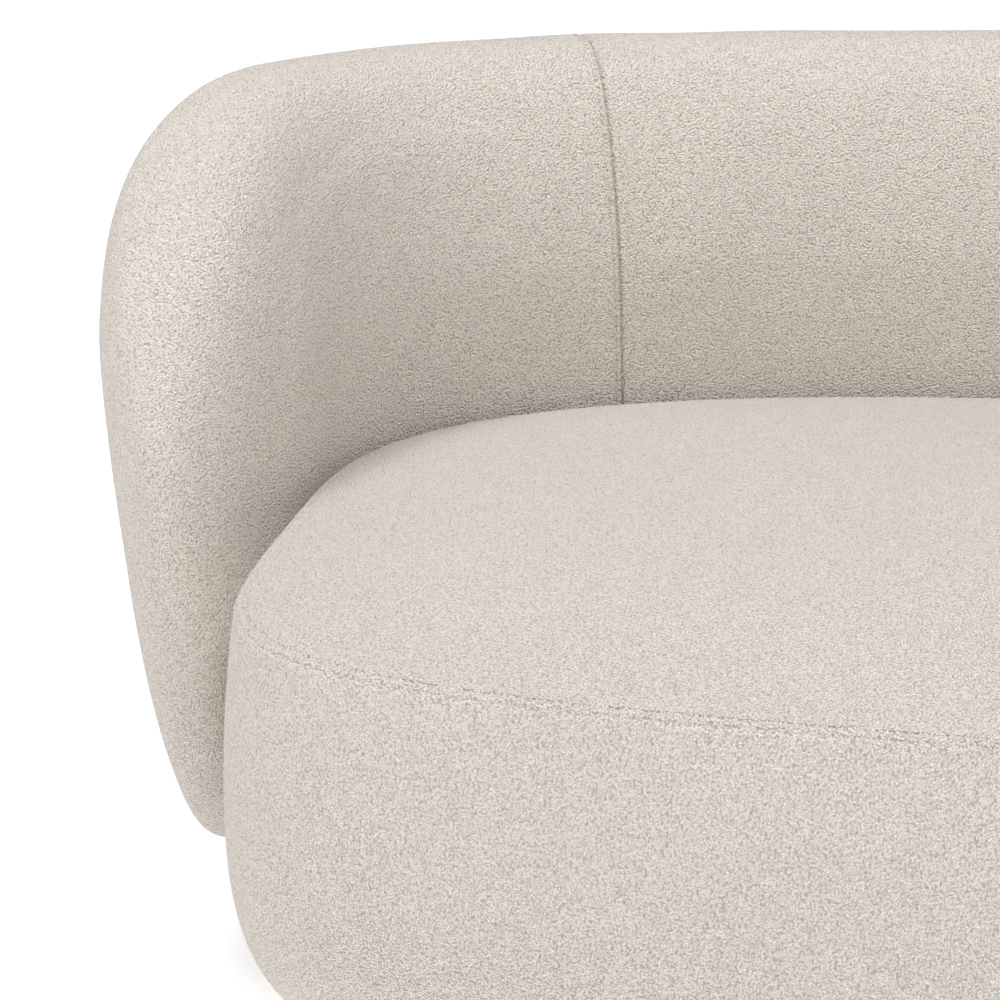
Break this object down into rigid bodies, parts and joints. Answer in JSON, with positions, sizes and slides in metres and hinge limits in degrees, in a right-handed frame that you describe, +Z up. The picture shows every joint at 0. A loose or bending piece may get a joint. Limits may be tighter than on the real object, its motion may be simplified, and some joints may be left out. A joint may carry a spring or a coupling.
{
  "type": "sofa",
  "caption": "Curved low sofa: a thick pebble-shaped seat inside a wrap-around padded back and arms, in cream boucle, on turned wooden legs.",
  "frame": {"origin": "on the floor, under the middle of the sofa's bounding box", "axes": "+X is the sitter's left along the length, -Y is the front that the sitter faces, +Z is up"},
  "size_m": [2.161, 1.0467, 0.7326],
  "materials": {
    "boucle_fabric": "cream looped boucle with a soft matt nap",
    "foam": "open-cell upholstery foam",
    "wadding": "white polyester fibre",
    "dust_cloth": "black non-woven cloth",
    "webbing": "woven elastic webbing",
    "plywood": "unfinished birch plywood",
    "softwood": "planed pine",
    "side_panel": "thin bent hardboard",
    "oak_leg": "oiled oak, satin",
    "steel": "zinc-plated",
    "glide": "black nylon"
  },
  "bodies": {
    "root": {"arm_cover_left": "boucle_fabric", "arm_cover_right": "boucle_fabric", "back_cover": "boucle_fabric", "seat_top_cover": "boucle_fabric", "seat_border_cover": "boucle_fabric", "arm_foam_left": "foam", "arm_foam_right": "foam", "back_foam": "foam", "seat_foam": "foam", "border_foam": "foam", "seat_wadding": "wadding", "dust_cover": "dust_cloth", "cross_strap_left": "webbing", "cross_strap_middle_left": "webbing", "cross_strap_middle_right": "webbing", "cross_strap_right": "webbing", "long_strap_front": "webbing", "long_strap_rear": "webbing", "seat_bottom_ring": "plywood", "seat_top_ring": "plywood", "back_bottom_rail": "plywood", "back_top_rail": "plywood", "seat_post_front_left": "softwood", "seat_post_front_right": "softwood", "seat_post_rear_left": "softwood", "seat_post_rear_right": "softwood", "cross_rail_left": "softwood", "cross_rail_middle": "softwood", "cross_rail_right": "softwood", "back_upright_1": "softwood", "back_upright_2": "softwood", "back_upright_3": "softwood", "back_upright_4": "softwood", "back_upright_5": "softwood", "back_upright_6": "softwood", "side_panel_front": "side_panel", "side_panel_rear": "side_panel", "leg_front_left": "oak_leg", "leg_front_right": "oak_leg", "leg_rear_left": "oak_leg", "leg_rear_right": "oak_leg", "leg_middle": "oak_leg", "leg_plate_front_left": "steel", "leg_plate_front_right": "steel", "leg_plate_rear_left": "steel", "leg_plate_rear_right": "steel", "leg_bolt_front_left": "steel", "leg_bolt_front_right": "steel", "leg_bolt_rear_left": "steel", "leg_bolt_rear_right": "steel", "leg_bolt_middle": "steel", "joining_plate_left": "steel", "joining_plate_middle": "steel", "joining_plate_right": "steel", "glide_front_left": "glide", "glide_front_right": "glide", "glide_rear_left": "glide", "glide_rear_right": "glide", "glide_middle": "glide"}
  },
  "joints": []
}
